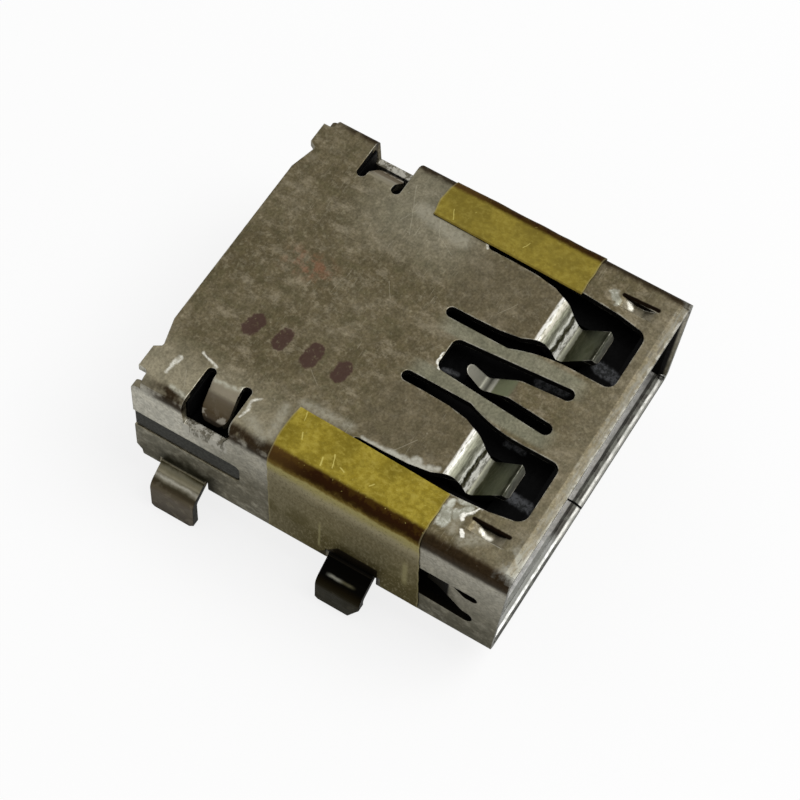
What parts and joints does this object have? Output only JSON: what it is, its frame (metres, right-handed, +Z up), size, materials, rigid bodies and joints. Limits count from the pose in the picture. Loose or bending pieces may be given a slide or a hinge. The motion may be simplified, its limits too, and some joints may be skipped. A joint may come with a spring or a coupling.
{
  "type": "usb port connector",
  "caption": "Board-mounted receptacle: a folded steel shell with spring fingers, a plastic tongue with flat contacts, bent-out board legs and film tape on both sides.",
  "frame": {"origin": "centre of the part's box in plan, at the level of the back legs' tips", "axes": "+Z up from the board, -Y out of the mouth towards the plug, +X to the right seen from the mouth"},
  "size_m": [0.015, 0.015, 0.0072],
  "materials": {
    "shell_steel": "dull plated steel, handled and lightly tarnished",
    "insert_plastic": "dark grey moulded plastic",
    "contact_metal": "plated copper alloy",
    "film_tape": "thin amber film, slightly wrinkled"
  },
  "bodies": {
    "root": {"shell": "shell_steel", "housing": "insert_plastic", "contact_1": "contact_metal", "contact_2": "contact_metal", "contact_3": "contact_metal", "contact_4": "contact_metal", "tape_left": "film_tape", "tape_right": "film_tape"}
  },
  "joints": []
}
